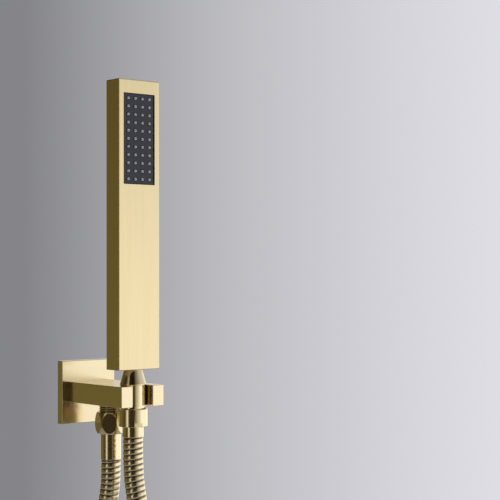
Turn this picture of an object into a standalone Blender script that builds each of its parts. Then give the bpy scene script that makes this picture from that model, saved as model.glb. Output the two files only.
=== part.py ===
"""Wall-bracket hand shower: a water-outlet bracket with a forked arm, a bar handset and its spiral hose.

The frame is the wall. The origin is the centre of the flange's back face, +X runs to the right as you
face the wall, +Y runs into the wall and +Z is up, so the front of the shower faces -Y. Metres throughout.
"""

import math

import bmesh
import bpy
from mathutils import Matrix, Vector

# Clearances
GAP = 0.0003  # between two pieces that touch in use
RUNNING = 0.0003  # radial play of the neck in the fork

# Wall flange
FLANGE_SIDE = 0.055
FLANGE_THICK = 0.007
FLANGE_BEVEL = 0.0006
SEAL_INNER_R = 0.0135
SEAL_OUTER_R = 0.0175
SEAL_THICK = 0.0012

# Arm and fork
ARM_WIDTH = 0.0433
ARM_HEIGHT = 0.0176
ARM_RISE = 0.0006  # the arm's middle above the flange's middle
ARM_BEVEL = 0.0005
HANDSET_REACH = 0.0745  # wall to the handset's axis
FORK_TIP = 0.0142  # handset's axis to the front of the fork
OUTLET_REACH = 0.0414  # wall to the outlet's axis

# Pipe threads, half-inch parallel
THREAD_R = 0.01048
THREAD_DEPTH = 0.00116
THREAD_PITCH = 0.001814

# Inlet nipple, from the pipe in the wall into the arm
INLET_THREAD_LENGTH = 0.0155
INLET_STEM_R = 0.0062
INLET_BORE_R = 0.0034
INLET_STEM_END = 0.031  # wall to the inner end of the stem
O_RING_GROOVE_DEPTH = 0.0014
O_RING_R = 0.00055
O_RING_REACHES = {"rear": 0.0175, "front": 0.0250}
SET_SCREW_REACH = 0.0122
SET_SCREW_R = 0.0019
SET_SCREW_SOCKET_R = 0.0011
SET_SCREW_GROOVE_DEPTH = 0.0014

# Outlet nipple under the arm
OUTLET_STUB_R = 0.0077
OUTLET_STUB_HEIGHT = 0.0050
OUTLET_THREAD_LENGTH = 0.0175
OUTLET_BORE_R = 0.0072
OUTLET_THROAT_R = 0.0048
OUTLET_ROOF = 0.0050  # arm material left over the outlet's blind hole

# Check valve in the outlet nipple
VALVE_LENGTH = 0.0150
VALVE_WALL = 0.0013
VALVE_SEAT_R = 0.0034
VALVE_SEAT_THICK = 0.0015
POPPET_R = 0.0045
POPPET_THICK = 0.0014
POPPET_STEM_R = 0.0011
GUIDE_THICK = 0.0022
GUIDE_BOSS_R = 0.0023
GUIDE_RIB_WIDTH = 0.0012
SPRING_MEAN_R = 0.0030
SPRING_WIRE_R = 0.0003
SPRING_TURNS = 5
SPRING_STEPS = 10  # straight stretches in one turn

# Hose fittings
HOSE_R = 0.0085
WASHER_THICK = 0.0022
WASHER_HOLE_R = 0.0052
INSERT_HEAD_THICK = 0.0018
INSERT_STEM_R = 0.0062
INSERT_BORE_R = 0.0040
HEX_WALL = 0.00137  # thread bore to the flats
HEX_HEIGHT = 0.0184
HEX_DROP = 0.0074  # arm's underside to the top of the hexagon nut
HEX_RIM_INSET = 0.0002  # from the flats in to the rim of each end
HEX_CORNER_CUT = 0.00043  # turned off the corners
HEX_TURN = math.radians(50)  # from +X to the middle of one flat, as left after tightening
SLEEVE_WALL = 0.0003  # outlet sleeve over the hose
SLEEVE_BOTTOM = -0.0568
SLEEVE_RIM = 0.0006  # chamfer round the lower end of a sleeve
ROUND_NUT_WALL = 0.00147
ROUND_NUT_HEIGHT = 0.0150
ROUND_NUT_CHAMFER = 0.0005
ROUND_NUT_DROP = 0.0022  # fork's underside to the top of the round nut
ROUND_NUT_FLAT_DEPTH = 0.0005
ROUND_NUT_FLAT_HEIGHT = 0.0034
ROUND_NUT_FLAT_TURN = math.radians(-102)  # from +X to the middle of one wrench flat
FERRULE_WALL = 0.0005  # handset ferrule over the hose
FERRULE_BOTTOM = -0.0347

# Handset tail
NECK_UNDERCUT = 0.00013  # below the thread's crest
CONE_OVERLAP = 0.00055  # what the cone rests on at each side of the slot
CONE_TOP_R = 0.0077
CONE_HEIGHT = 0.0133  # top of the arm to the body
TAIL_THREAD_LENGTH = 0.0090
TAIL_BORE_R = 0.0050
TAIL_STEM_BORE_R = 0.0028
TAIL_SPOUT_R = 0.0042
TAIL_SPOUT_LENGTH = 0.0150
RESTRICTOR_THICK = 0.0030
RESTRICTOR_HOLE_R = 0.0013
LOCK_NUT_PLAY = 0.00085  # from each flat to the bar's front and back walls
LOCK_NUT_WALL = 0.0005
LOCK_NUT_HEIGHT = 0.0045

# Handset body
HANDSET_WIDTH = 0.0417
HANDSET_DEPTH = 0.0187
HANDSET_HEIGHT = 0.2444
HANDSET_WALL = 0.0015
HANDSET_BEVEL = 0.0006
HANDSET_TOP_ROUND = 0.0013

# Spray face
FACE_WIDTH = 0.0311
FACE_HEIGHT = 0.0761
FACE_TOP_MARGIN = 0.0121
FACE_RECESS = 0.0009
FACE_THICK = 0.0020
MAT_THICK = 0.0012
GASKET_THICK = 0.0012
GASKET_WIDTH = 0.0018
TRAY_DEPTH = 0.0068
TRAY_WALL = 0.0015
SPOUT_LENGTH = 0.0100
NOZZLE_EDGE = 0.0038  # least distance from a nozzle's axis to the face's rim
NOZZLE_COLUMN_PITCH = 0.0072
NOZZLE_ROW_PITCH = 0.0068
NOZZLE_BASE_R = 0.0014
NOZZLE_TIP_R = 0.0010
TUBE_WALL = 0.0015

# Hose: hanging legs and the coil that hangs from them
COIL_R = 0.102  # to the middle of the turns
COIL_CENTRE_Z = -0.260
COIL_PLANES = (-0.0495, -0.0665)  # y of the two turns that lie side by side
TIE_WIDTH = 0.012
TIE_THICK = 0.0015
TIE_PLAY = 0.0006
ROUTE_STEP = 0.012  # spacing of the hose's points

OUTLET_LEG = [
    (0.0000, -0.0414, -0.0571),
    (0.0000, -0.0411, -0.0700),
    (0.0000, -0.0402, -0.0800),
    (-0.0015, -0.0375, -0.0974),
    (-0.0060, -0.0344, -0.1142),
    (-0.0134, -0.0323, -0.1300),
    (-0.0234, -0.0319, -0.1443),
    (-0.0357, -0.0319, -0.1566),
    (-0.0506, -0.0319, -0.1691),
    (-0.0656, -0.0319, -0.1819),
    (-0.0804, -0.0319, -0.1972),
    (-0.0917, -0.0319, -0.2153),
    (-0.0990, -0.0319, -0.2353),
    (-0.1019, -0.0319, -0.2564),
]
HANDSET_LEG = [
    (0.0000, -0.0745, -0.0350),
    (0.0000, -0.0746, -0.0500),
    (0.0000, -0.0755, -0.0650),
    (0.0001, -0.0761, -0.0710),
    (0.0018, -0.0789, -0.0918),
    (0.0072, -0.0818, -0.1120),
    (0.0161, -0.0838, -0.1310),
    (0.0281, -0.0841, -0.1481),
    (0.0429, -0.0841, -0.1629),
    (0.0542, -0.0841, -0.1724),
    (0.0656, -0.0841, -0.1819),
    (0.0804, -0.0841, -0.1972),
    (0.0917, -0.0841, -0.2153),
    (0.0990, -0.0841, -0.2353),
    (0.1019, -0.0841, -0.2564),
]

# Sizes that follow from the ones above
ARM_TOP = ARM_RISE + ARM_HEIGHT / 2
ARM_BOTTOM = ARM_RISE - ARM_HEIGHT / 2
ARM_REACH = HANDSET_REACH + FORK_TIP
NECK_R = THREAD_R - NECK_UNDERCUT
SLOT_HALF_WIDTH = NECK_R + RUNNING
CONE_BASE_R = SLOT_HALF_WIDTH + CONE_OVERLAP
ARM_BORE_R = INLET_STEM_R + GAP
OUTLET_THREAD_TOP = ARM_BOTTOM - GAP
OUTLET_THREAD_BOTTOM = OUTLET_THREAD_TOP - OUTLET_THREAD_LENGTH
NUT_BORE_R = THREAD_R + GAP
HEX_ACROSS_FLATS = 2 * (NUT_BORE_R + HEX_WALL)
HEX_CORNER_R = HEX_ACROSS_FLATS / math.sqrt(3) - HEX_CORNER_CUT
ROUND_NUT_R = NUT_BORE_R + ROUND_NUT_WALL
SLEEVE_R = HOSE_R + SLEEVE_WALL
FERRULE_R = HOSE_R + FERRULE_WALL
HEX_TOP = ARM_BOTTOM - HEX_DROP
HEX_BOTTOM = HEX_TOP - HEX_HEIGHT
ROUND_NUT_TOP = ARM_BOTTOM - ROUND_NUT_DROP
ROUND_NUT_BOTTOM = ROUND_NUT_TOP - ROUND_NUT_HEIGHT
TAIL_BOTTOM = ROUND_NUT_TOP - TAIL_THREAD_LENGTH
TUBE_INNER_R = TAIL_SPOUT_R + GAP
LOCK_NUT_ACROSS_FLATS = HANDSET_DEPTH - 2 * (HANDSET_WALL + LOCK_NUT_PLAY)
TAIL_STEM_R = LOCK_NUT_ACROSS_FLATS / 2 - LOCK_NUT_WALL
HANDSET_BOTTOM = ARM_TOP + CONE_HEIGHT
HANDSET_TOP = HANDSET_BOTTOM + HANDSET_HEIGHT
FACE_TOP = HANDSET_TOP - FACE_TOP_MARGIN
FACE_BOTTOM = FACE_TOP - FACE_HEIGHT
NOZZLE_COLUMNS = 1 + int((FACE_WIDTH - 2 * NOZZLE_EDGE) / NOZZLE_COLUMN_PITCH)
NOZZLE_ROWS = 1 + int((FACE_HEIGHT - 2 * NOZZLE_EDGE) / NOZZLE_ROW_PITCH)

OUTLET_AXIS = Vector((0, -OUTLET_REACH, 0))
HANDSET_AXIS = Vector((0, -HANDSET_REACH, 0))

SEGMENTS = 28
SMALL_SEGMENTS = 16
FINE_SEGMENTS = 36
NOZZLE_SIDES = 6
BARREL_STEPS = 8  # stretches along the side of the hexagon nut
RING_SIDES = 8  # sides of an O-ring's section
FAR = 0.2  # how far a cutter runs past what it cuts
SMOOTH_BELOW = math.radians(35)  # edges blunter than this are shaded smooth


def clear_scene():
    for obj in list(bpy.data.objects):
        bpy.data.objects.remove(obj, do_unlink=True)


def material(name, colour, roughness, metallic=0.0):
    made = bpy.data.materials.new(name)
    made.use_nodes = True
    shader = made.node_tree.nodes["Principled BSDF"]
    shader.inputs["Base Color"].default_value = (*colour, 1)
    shader.inputs["Roughness"].default_value = roughness
    shader.inputs["Metallic"].default_value = metallic
    return made


def empty(name, place, parent=None):
    """An axis that moving pieces hang from, at place in its parent's frame."""
    made = bpy.data.objects.new(name, None)
    made.empty_display_size = 0.01
    made.parent = parent
    made.location = place
    bpy.context.collection.objects.link(made)
    return made


def finish(bm, name, finish_material, parent=None, place=(0, 0, 0), helper=False):
    """Turns a bmesh into a named object, at place in its parent's frame."""
    bmesh.ops.recalc_face_normals(bm, faces=bm.faces)
    if bm.calc_volume(signed=True) < 0:
        bmesh.ops.reverse_faces(bm, faces=bm.faces)
    mesh = bpy.data.meshes.new(name)
    bm.to_mesh(mesh)
    bm.free()
    made = bpy.data.objects.new(name, mesh)
    made.location = place
    made.parent = parent
    bpy.context.collection.objects.link(made)
    if helper:
        made.hide_render = True
        made.display_type = "WIRE"
        return made
    mesh.shade_smooth()
    mesh.set_sharp_from_angle(angle=SMOOTH_BELOW)
    mesh.materials.append(finish_material)
    return made


def turned_bmesh(outline, segments=SEGMENTS):
    """A closed outline of (radius, z) points, turned about the Z axis."""
    bm = bmesh.new()
    points = [bm.verts.new((radius, 0, z)) for radius, z in outline]
    edges = [bm.edges.new((a, b)) for a, b in zip(points, points[1:] + points[:1])]
    bmesh.ops.spin(bm, geom=points + edges, axis=(0, 0, 1), cent=(0, 0, 0), angle=math.tau, steps=segments)
    bmesh.ops.remove_doubles(bm, verts=bm.verts, dist=1e-6)
    bmesh.ops.dissolve_degenerate(bm, edges=bm.edges, dist=1e-7)
    return bm


def aim(bm, matrix):
    bmesh.ops.transform(bm, matrix=matrix, verts=bm.verts)
    return bm


INTO_WALL = Matrix.Rotation(-math.pi / 2, 4, "X")  # turns +Z to +Y
ON_INLET = Matrix.Translation((0, 0, ARM_RISE)) @ INTO_WALL  # and up to the nipple's axis


def box_bmesh(low, high):
    bm = bmesh.new()
    bmesh.ops.create_cube(bm, size=1)
    middle = (Vector(low) + Vector(high)) / 2
    sides = Vector(high) - Vector(low)
    bmesh.ops.transform(bm, matrix=Matrix.LocRotScale(middle, None, sides), verts=bm.verts)
    return bm


def prism_bmesh(outline, low, high):
    """A closed outline of (x, y) points, extruded from z = low to z = high."""
    bm = bmesh.new()
    face = bm.faces.new([bm.verts.new((x, y, low)) for x, y in outline])
    grown = bmesh.ops.extrude_face_region(bm, geom=[face])["geom"]
    tops = [v for v in grown if isinstance(v, bmesh.types.BMVert)]
    bmesh.ops.translate(bm, vec=(0, 0, high - low), verts=tops)
    return bm


def bevel_edges(bm, width, wanted, segments=2):
    edges = [edge for edge in bm.edges if wanted(edge)]
    bmesh.ops.bevel(bm, geom=edges, offset=width, segments=segments, profile=0.5, affect="EDGES")
    return bm


def cut(target, bm, name, operation="DIFFERENCE"):
    """Takes a shape, given in the target's own frame, away from the target or joins it on."""
    tool = finish(bm, name, None, target.parent, target.location.copy(), helper=True)
    modifier = target.modifiers.new(name, "BOOLEAN")
    modifier.operation = operation
    modifier.object = tool


def cylinder_bmesh(radius, low, high, segments=SEGMENTS):
    return turned_bmesh([(0, low), (radius, low), (radius, high), (0, high)], segments)


def hexagon_bmesh(across_flats, low, high, turn=0.0):
    corner = across_flats / math.sqrt(3)
    angles = [turn + math.radians(30 + 60 * i) for i in range(6)]
    return prism_bmesh([(corner * math.cos(a), corner * math.sin(a)) for a in angles], low, high)


def thread_outline(low, high, radius=THREAD_R):
    """The outer side of a threaded stretch, from low to high, as ridges one pitch apart."""
    count = int((high - low) / THREAD_PITCH)
    plain = (high - low - count * THREAD_PITCH) / 2
    points = [(radius - THREAD_DEPTH, low), (radius - THREAD_DEPTH, low + plain)]
    for i in range(count):
        foot = low + plain + i * THREAD_PITCH
        points.append((radius, foot + THREAD_PITCH / 2))
        points.append((radius - THREAD_DEPTH, foot + THREAD_PITCH))
    if plain > 1e-6:
        points.append((radius - THREAD_DEPTH, high))
    return points


def ring_bmesh(mean_radius, section_radius, height):
    """An O-ring about the Z axis."""
    outline = []
    for i in range(RING_SIDES):
        angle = math.tau * i / RING_SIDES
        outline.append(
            (mean_radius + section_radius * math.cos(angle), height + section_radius * math.sin(angle))
        )
    return turned_bmesh(outline, SMALL_SEGMENTS)


def tube_outline(inner, outer, low, high):
    return [(inner, low), (outer, low), (outer, high), (inner, high)]


# ---- bracket -------------------------------------------------------------------------------------


def wall_flange(gold):
    half = FLANGE_SIDE / 2
    bm = box_bmesh((-half, -FLANGE_THICK, -half), (half, 0, half))
    bevel_edges(bm, FLANGE_BEVEL, lambda edge: all(v.co.y < -FLANGE_THICK / 2 for v in edge.verts))
    plate = finish(bm, "wall_flange", gold)
    cut(plate, aim(cylinder_bmesh(INLET_STEM_R + GAP, -FAR, FAR), ON_INLET), "flange_hole")
    shoulder = cylinder_bmesh(THREAD_R + GAP, -FLANGE_THICK / 2, FAR)
    cut(plate, aim(shoulder, ON_INLET), "flange_counterbore")
    groove = tube_outline(SEAL_INNER_R - GAP, SEAL_OUTER_R + GAP, -SEAL_THICK - GAP, FAR)
    cut(plate, aim(turned_bmesh(groove), INTO_WALL), "flange_seal_groove")


def wall_seal(rubber):
    outline = tube_outline(SEAL_INNER_R, SEAL_OUTER_R, -SEAL_THICK, 0)
    finish(aim(turned_bmesh(outline), INTO_WALL), "wall_seal", rubber)


def inlet_nipple(brass):
    """Thread in the wall, then a stem with two seal grooves and a locking groove inside the arm."""
    groove_root = INLET_STEM_R - O_RING_GROOVE_DEPTH
    groove_half = O_RING_R + GAP
    outline = [(INLET_BORE_R, INLET_THREAD_LENGTH)]
    outline += [(THREAD_R - THREAD_DEPTH, INLET_THREAD_LENGTH)]
    outline += thread_outline(0, INLET_THREAD_LENGTH)[::-1][1:]
    outline += [(THREAD_R, 0), (THREAD_R, GAP - FLANGE_THICK / 2), (INLET_STEM_R, GAP - FLANGE_THICK / 2)]
    outline += [
        (INLET_STEM_R, -SET_SCREW_REACH + SET_SCREW_R + GAP),
        (INLET_STEM_R - SET_SCREW_GROOVE_DEPTH, -SET_SCREW_REACH + SET_SCREW_R),
        (INLET_STEM_R - SET_SCREW_GROOVE_DEPTH, -SET_SCREW_REACH - SET_SCREW_R),
        (INLET_STEM_R, -SET_SCREW_REACH - SET_SCREW_R - GAP),
    ]
    for reach in O_RING_REACHES.values():
        outline += [
            (INLET_STEM_R, -reach + groove_half),
            (groove_root, -reach + groove_half),
            (groove_root, -reach - groove_half),
            (INLET_STEM_R, -reach - groove_half),
        ]
    outline += [(INLET_STEM_R, -INLET_STEM_END), (INLET_BORE_R, -INLET_STEM_END)]
    finish(aim(turned_bmesh(outline, SMALL_SEGMENTS), ON_INLET), "inlet_nipple", brass)


def nipple_o_rings(rubber):
    mean = (ARM_BORE_R + INLET_STEM_R - O_RING_GROOVE_DEPTH) / 2
    for name, reach in O_RING_REACHES.items():
        bm = ring_bmesh(mean, O_RING_R, -reach)
        finish(aim(bm, ON_INLET), f"nipple_o_ring_{name}", rubber)


def arm_body(gold):
    """The arm, with a U-shaped slot at its end for the handset's neck and a waterway to the outlet."""
    half = ARM_WIDTH / 2
    bm = box_bmesh((-half, -ARM_REACH, ARM_BOTTOM), (half, -FLANGE_THICK - GAP, ARM_TOP))
    bevel_edges(bm, ARM_BEVEL, lambda edge: any(v.co.y < -ARM_REACH / 2 for v in edge.verts))
    arm = finish(bm, "arm_body", gold)
    slot = []
    for i in range(SMALL_SEGMENTS + 1):
        angle = math.pi * i / SMALL_SEGMENTS
        slot.append((SLOT_HALF_WIDTH * math.cos(angle), -HANDSET_REACH + SLOT_HALF_WIDTH * math.sin(angle)))
    slot += [(-SLOT_HALF_WIDTH, -ARM_REACH - FAR), (SLOT_HALF_WIDTH, -ARM_REACH - FAR)]
    cut(arm, prism_bmesh(slot, -FAR, FAR), "fork_slot")
    cut(arm, aim(cylinder_bmesh(ARM_BORE_R, -OUTLET_REACH, FAR), ON_INLET), "arm_waterway")
    outlet = cylinder_bmesh(OUTLET_STUB_R + GAP, -FAR, ARM_TOP - OUTLET_ROOF)
    cut(arm, aim(outlet, Matrix.Translation(OUTLET_AXIS)), "arm_outlet_hole")
    screw_hole = cylinder_bmesh(SET_SCREW_R + GAP, -FAR, ARM_RISE, SMALL_SEGMENTS)
    cut(arm, aim(screw_hole, Matrix.Translation((0, -SET_SCREW_REACH, 0))), "arm_screw_hole")


def arm_set_screw(steel):
    top = ARM_RISE - INLET_STEM_R + SET_SCREW_GROOVE_DEPTH - GAP
    low = ARM_BOTTOM + GAP
    socket_top = (low + top) / 2
    outline = [
        (0, socket_top),
        (SET_SCREW_SOCKET_R, socket_top),
        (SET_SCREW_SOCKET_R, low),
        (SET_SCREW_R, low),
        (SET_SCREW_R, top - SET_SCREW_R / 3),
        (SET_SCREW_R / 2, top),
        (0, top),
    ]
    finish(turned_bmesh(outline, SMALL_SEGMENTS), "arm_set_screw", steel, place=(0, -SET_SCREW_REACH, 0))


def outlet_nipple(gold):
    """Stub inside the arm, then the thread that the hexagon nut screws on."""
    outline = [
        (OUTLET_THROAT_R, OUTLET_THREAD_TOP - GAP - VALVE_WALL),
        (OUTLET_BORE_R, OUTLET_THREAD_TOP - GAP - VALVE_WALL),
        (OUTLET_BORE_R, OUTLET_THREAD_BOTTOM),
    ]
    outline += thread_outline(OUTLET_THREAD_BOTTOM, OUTLET_THREAD_TOP)
    outline += [
        (OUTLET_STUB_R, OUTLET_THREAD_TOP),
        (OUTLET_STUB_R, OUTLET_THREAD_TOP + OUTLET_STUB_HEIGHT),
        (OUTLET_THROAT_R, OUTLET_THREAD_TOP + OUTLET_STUB_HEIGHT),
    ]
    finish(turned_bmesh(outline), "outlet_nipple", gold, place=OUTLET_AXIS)


VALVE_TOP = OUTLET_THREAD_TOP - 2 * GAP - VALVE_WALL
VALVE_BOTTOM = VALVE_TOP - VALVE_LENGTH
POPPET_TOP = VALVE_TOP - VALVE_SEAT_THICK - GAP
SPRING_TOP = POPPET_TOP - POPPET_THICK - GAP - SPRING_WIRE_R
SPRING_BOTTOM = VALVE_BOTTOM + GUIDE_THICK + GAP + SPRING_WIRE_R


def check_valve_body(plastic):
    """A cartridge with a seat at its top and a guide for the poppet's stem on three ribs below."""
    outer = OUTLET_BORE_R - GAP
    inner = outer - VALVE_WALL
    shell = [
        (inner, VALVE_BOTTOM),
        (outer, VALVE_BOTTOM),
        (outer, VALVE_TOP),
        (VALVE_SEAT_R, VALVE_TOP),
        (VALVE_SEAT_R, VALVE_TOP - VALVE_SEAT_THICK),
        (inner, VALVE_TOP - VALVE_SEAT_THICK),
    ]
    body = finish(turned_bmesh(shell, SMALL_SEGMENTS), "check_valve_body", plastic, place=OUTLET_AXIS)
    reach = inner + VALVE_WALL / 2
    half = GUIDE_RIB_WIDTH / 2
    for i in range(3):
        rib = box_bmesh((0, -half, VALVE_BOTTOM + GAP), (reach, half, VALVE_BOTTOM + GUIDE_THICK))
        cut(body, aim(rib, Matrix.Rotation(math.tau * i / 3, 4, "Z")), f"guide_rib_{i}", "UNION")
    boss = cylinder_bmesh(GUIDE_BOSS_R, VALVE_BOTTOM, VALVE_BOTTOM + GUIDE_THICK + GAP, SMALL_SEGMENTS)
    cut(body, boss, "guide_boss", "UNION")
    cut(body, cylinder_bmesh(POPPET_STEM_R + GAP, -FAR, FAR, SMALL_SEGMENTS), "guide_hole")


def check_valve_poppet(rubber):
    stem_bottom = VALVE_BOTTOM + GAP
    outline = [
        (0, stem_bottom),
        (POPPET_STEM_R, stem_bottom),
        (POPPET_STEM_R, POPPET_TOP - POPPET_THICK),
        (POPPET_R, POPPET_TOP - POPPET_THICK),
        (POPPET_R, POPPET_TOP - POPPET_THICK / 2),
        (VALVE_SEAT_R, POPPET_TOP),
        (0, POPPET_TOP),
    ]
    finish(turned_bmesh(outline, SMALL_SEGMENTS), "check_valve_poppet", rubber, place=OUTLET_AXIS)


def check_valve_spring(steel):
    steps = SPRING_TURNS * SPRING_STEPS
    points = []
    for i in range(steps + 1):
        angle = math.tau * SPRING_TURNS * i / steps
        height = SPRING_BOTTOM + (SPRING_TOP - SPRING_BOTTOM) * i / steps
        points.append((SPRING_MEAN_R * math.cos(angle), SPRING_MEAN_R * math.sin(angle), height))
    tube_object("check_valve_spring", [Vector(p) + OUTLET_AXIS for p in points], SPRING_WIRE_R, steel, 0)


# ---- hose and its fittings -----------------------------------------------------------------------


def washer(name, top, rubber, parent, place):
    outline = tube_outline(WASHER_HOLE_R, THREAD_R - THREAD_DEPTH / 2, top - WASHER_THICK, top)
    finish(turned_bmesh(outline), name, rubber, parent, place)


def hose_insert(name, head_top, bottom, brass, parent, place):
    """The stepped tube that the washer presses on and that the hose is swaged over."""
    neck = head_top - INSERT_HEAD_THICK
    outline = [
        (INSERT_BORE_R, bottom),
        (INSERT_STEM_R, bottom),
        (INSERT_STEM_R, neck),
        (NUT_BORE_R - 2 * GAP, neck),
        (NUT_BORE_R - 2 * GAP, head_top),
        (INSERT_BORE_R, head_top),
    ]
    finish(turned_bmesh(outline), name, brass, parent, place)


def hose_sleeve(name, radius, top, bottom, gold, parent, place):
    """The outer sleeve that closes the hose's end, with its lower rim rounded over."""
    outline = [
        (INSERT_STEM_R + GAP, bottom),
        (radius - SLEEVE_RIM, bottom),
        (radius, bottom + SLEEVE_RIM),
        (radius, top),
        (INSERT_STEM_R + GAP, top),
    ]
    finish(turned_bmesh(outline), name, gold, parent, place)


OUTLET_WASHER_TOP = OUTLET_THREAD_BOTTOM - GAP
OUTLET_HEAD_TOP = OUTLET_WASHER_TOP - WASHER_THICK - GAP
TAIL_WASHER_TOP = TAIL_BOTTOM - GAP
TAIL_HEAD_TOP = TAIL_WASHER_TOP - WASHER_THICK - GAP


def hexagon_nut(gold, parent):
    """Hexagon union nut turned to a barrel, which leaves each flat with an oval outline."""
    bar = hexagon_bmesh(HEX_ACROSS_FLATS, HEX_BOTTOM - GAP, HEX_TOP + GAP, HEX_TURN)
    nut = finish(bar, "outlet_nut", gold, parent)
    rim = HEX_ACROSS_FLATS / 2 - HEX_RIM_INSET
    flat_half_width = math.sqrt(HEX_CORNER_R**2 - rim**2)
    barrel = [(0, HEX_BOTTOM)]
    for i in range(BARREL_STEPS + 1):
        angle = math.pi * i / BARREL_STEPS
        height = HEX_BOTTOM + HEX_HEIGHT * (1 - math.cos(angle)) / 2
        barrel.append((math.hypot(rim, flat_half_width * math.sin(angle)), height))
    barrel.append((0, HEX_TOP))
    cut(nut, turned_bmesh(barrel), "nut_barrel", "INTERSECT")
    shoulder = OUTLET_HEAD_TOP - INSERT_HEAD_THICK - GAP
    cut(nut, cylinder_bmesh(NUT_BORE_R, shoulder, FAR), "nut_thread_bore")
    cut(nut, cylinder_bmesh(SLEEVE_R + GAP, -FAR, FAR), "nut_sleeve_bore")


def round_nut(gold, parent):
    """Round union nut under the fork, with a pair of small wrench flats at its lower edge."""
    shoulder = TAIL_HEAD_TOP - INSERT_HEAD_THICK - GAP
    outline = [
        (FERRULE_R + GAP, ROUND_NUT_BOTTOM),
        (ROUND_NUT_R - ROUND_NUT_CHAMFER, ROUND_NUT_BOTTOM),
        (ROUND_NUT_R, ROUND_NUT_BOTTOM + ROUND_NUT_CHAMFER),
        (ROUND_NUT_R, ROUND_NUT_TOP - ROUND_NUT_CHAMFER),
        (ROUND_NUT_R - ROUND_NUT_CHAMFER, ROUND_NUT_TOP),
        (NUT_BORE_R, ROUND_NUT_TOP),
        (NUT_BORE_R, shoulder),
        (FERRULE_R + GAP, shoulder),
    ]
    nut = finish(turned_bmesh(outline), "handset_nut", gold, parent)
    for side in (0, math.pi):
        low = (ROUND_NUT_R - ROUND_NUT_FLAT_DEPTH, -FAR, -FAR)
        block = box_bmesh(low, (FAR, FAR, ROUND_NUT_BOTTOM + ROUND_NUT_FLAT_HEIGHT))
        turn = Matrix.Rotation(ROUND_NUT_FLAT_TURN + side, 4, "Z")
        cut(nut, aim(block, turn), f"wrench_flat_{round(side)}")


def smooth_route(route):
    """Points about ROUTE_STEP apart on one smooth curve through the route's own points."""
    line = [Vector(p) for p in route]
    ends = [2 * line[0] - line[1], *line, 2 * line[-1] - line[-2]]
    points = []
    for a, b, c, d in zip(ends, ends[1:], ends[2:], ends[3:]):
        steps = max(1, round((c - b).length / ROUTE_STEP))
        for i in range(steps):
            t = i / steps
            bend = (2 * a - 5 * b + 4 * c - d) * t * t + (3 * b - a - 3 * c + d) * t**3
            points.append(b + ((c - a) * t + bend) / 2)
    return [*points, line[-1]]


def tube_object(name, points, radius, finish_material, resolution=2):
    curve = bpy.data.curves.new(name, "CURVE")
    curve.dimensions = "3D"
    curve.bevel_depth = radius
    curve.bevel_resolution = resolution
    curve.use_fill_caps = True
    spline = curve.splines.new("POLY")
    spline.points.add(len(points) - 1)
    for spot, point in zip(spline.points, points):
        spot.co = (*point, 1)
    curve.materials.append(finish_material)
    made = bpy.data.objects.new(name, curve)
    bpy.context.collection.objects.link(made)
    return made


def stadium(straight, radius, steps=6):
    """A closed outline of (x, y) points: two half circles whose centres are straight apart along y."""
    points = []
    for centre, start in ((straight / 2, 0.0), (-straight / 2, math.pi)):
        for i in range(steps + 1):
            angle = start + math.pi * i / steps
            points.append((radius * math.cos(angle), centre + radius * math.sin(angle)))
    return points


def hose_coil(gold):
    """The outer shape of the turns, a ring whose axis runs along Y."""
    outline = [(COIL_R + x, y) for x, y in stadium(abs(COIL_PLANES[0] - COIL_PLANES[1]), HOSE_R, 3)]
    place = (0, sum(COIL_PLANES) / 2, COIL_CENTRE_Z)
    finish(aim(turned_bmesh(outline, FINE_SEGMENTS), INTO_WALL), "hose_coil", gold, place=place)


def hose_tie(rubber):
    """A strap round the turns at the bottom of the coil."""
    spread = abs(COIL_PLANES[0] - COIL_PLANES[1])
    half = TIE_WIDTH / 2
    band = prism_bmesh(stadium(spread, HOSE_R + TIE_PLAY + TIE_THICK, 8), -half, half)
    along = Matrix.Rotation(math.pi / 2, 4, "Y")  # turns +Z to +X
    place = (0, sum(COIL_PLANES) / 2, COIL_CENTRE_Z - COIL_R)
    tie = finish(aim(band, along), "hose_tie", rubber, place=place)
    cut(tie, aim(prism_bmesh(stadium(spread, HOSE_R + TIE_PLAY, 8), -FAR, FAR), along), "tie_hole")


# ---- handset -------------------------------------------------------------------------------------


def tail_spigot(gold, parent):
    """Cone, neck and thread below the body; stem, seal groove and spout inside it."""
    stem_top = HANDSET_BOTTOM + HANDSET_WALL + LOCK_NUT_HEIGHT + 4 * GAP
    seal = HANDSET_BOTTOM + HANDSET_WALL / 2
    groove = O_RING_R + GAP / 2
    outline = [
        (TAIL_BORE_R, TAIL_BOTTOM),
        *thread_outline(TAIL_BOTTOM, ROUND_NUT_TOP, NECK_R),
        (NECK_R - THREAD_DEPTH, ARM_BOTTOM - GAP),
        (NECK_R, ARM_BOTTOM - GAP),
        (NECK_R, ARM_TOP + GAP),
        (CONE_BASE_R, ARM_TOP + GAP),
        (CONE_BASE_R, ARM_TOP + 3 * GAP),
        (CONE_TOP_R, HANDSET_BOTTOM - GAP),
        (TAIL_STEM_R, HANDSET_BOTTOM - GAP),
        (TAIL_STEM_R, seal - groove),
        (TAIL_STEM_R - O_RING_GROOVE_DEPTH, seal - groove),
        (TAIL_STEM_R - O_RING_GROOVE_DEPTH, seal + groove),
        (TAIL_STEM_R, seal + groove),
        (TAIL_STEM_R, stem_top),
        (TAIL_SPOUT_R, stem_top),
        (TAIL_SPOUT_R, stem_top + TAIL_SPOUT_LENGTH),
        (TAIL_STEM_BORE_R, stem_top + TAIL_SPOUT_LENGTH),
        (TAIL_STEM_BORE_R, ARM_TOP),
        (TAIL_BORE_R, ARM_TOP - TAIL_BORE_R),
    ]
    finish(turned_bmesh(outline), "tail_spigot", gold, parent)
    return stem_top


def tail_o_ring(rubber, parent):
    mean = TAIL_STEM_R + GAP - O_RING_GROOVE_DEPTH / 2
    bm = ring_bmesh(mean, O_RING_R - GAP / 2, HANDSET_BOTTOM + HANDSET_WALL / 2)
    finish(bm, "tail_o_ring", rubber, parent)


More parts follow.
